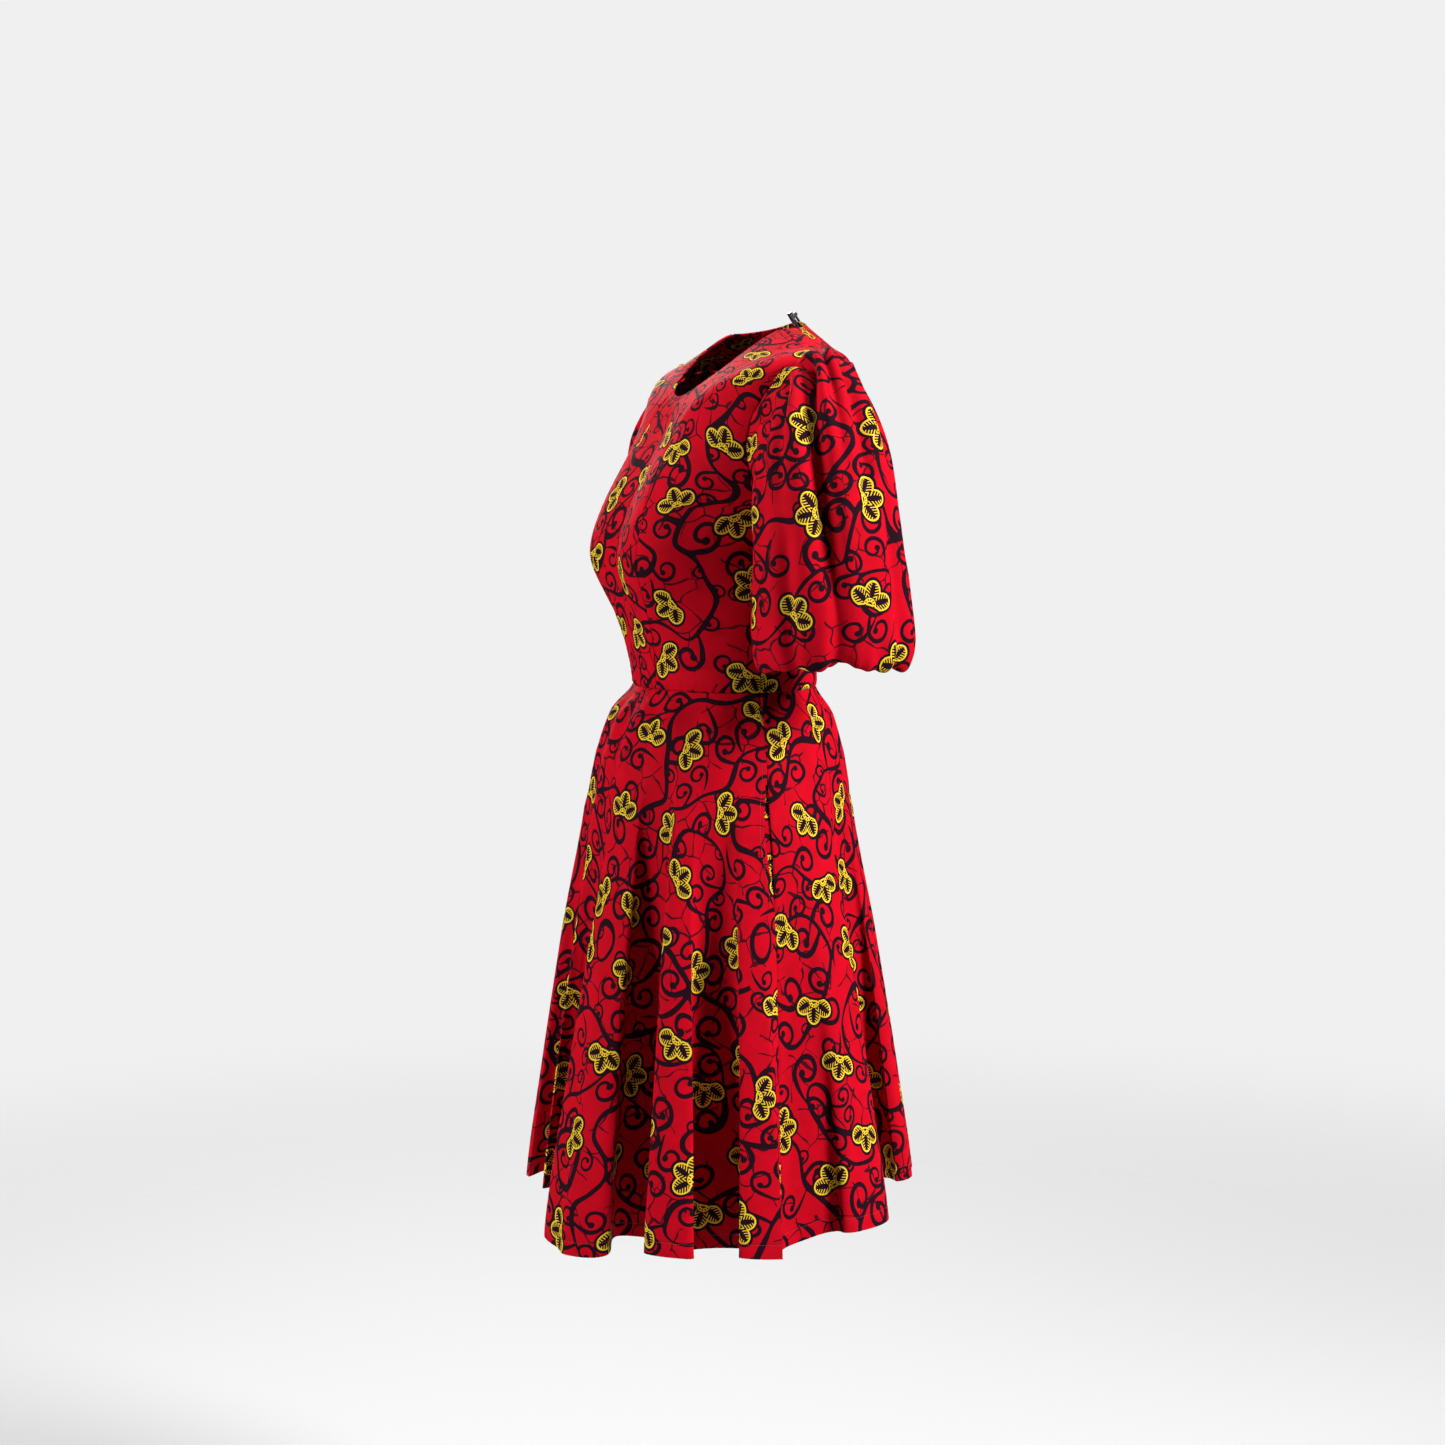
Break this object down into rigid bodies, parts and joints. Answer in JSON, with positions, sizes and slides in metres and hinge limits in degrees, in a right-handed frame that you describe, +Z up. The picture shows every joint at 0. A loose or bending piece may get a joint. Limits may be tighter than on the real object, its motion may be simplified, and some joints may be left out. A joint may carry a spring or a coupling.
{
  "type": "dress",
  "caption": "Knee-length fit-and-flare dress in a printed cotton, with a round neck, princess seams, gathered puff sleeves, side pockets and a flared skirt.",
  "frame": {"origin": "midway between the shoulder points, at the height where the wearer's shoulders hold the dress up", "axes": "+Z is up along the body, -Y is the front and +X is the wearer's left"},
  "size_m": [0.6002, 0.4141, 0.9559],
  "materials": {
    "wax_print_cotton": "matt printed cotton, red with black scrolls and yellow flowers",
    "zip_tape": "matt woven tape",
    "zip_metal": "satin black enamel"
  },
  "bodies": {
    "dress": {"bodice_front": "wax_print_cotton", "bodice_side_front_left": "wax_print_cotton", "bodice_side_front_right": "wax_print_cotton", "bodice_back_left": "wax_print_cotton", "bodice_back_right": "wax_print_cotton", "skirt_front": "wax_print_cotton", "skirt_back_left": "wax_print_cotton", "skirt_back_right": "wax_print_cotton", "sleeve_left": "wax_print_cotton", "sleeve_right": "wax_print_cotton", "pocket_left": "wax_print_cotton", "pocket_right": "wax_print_cotton", "zip_tape": "zip_tape", "zip_slider": "zip_metal"},
    "pull": {"zip_pull": "zip_metal"}
  },
  "joints": [
    {"name": "pull_swing", "type": "hinge", "parent": "dress", "child": "pull", "pos_m": [0, 0.03941, 0.0284], "axis": [1, 0, 0], "range_deg": [0, 140]}
  ]
}
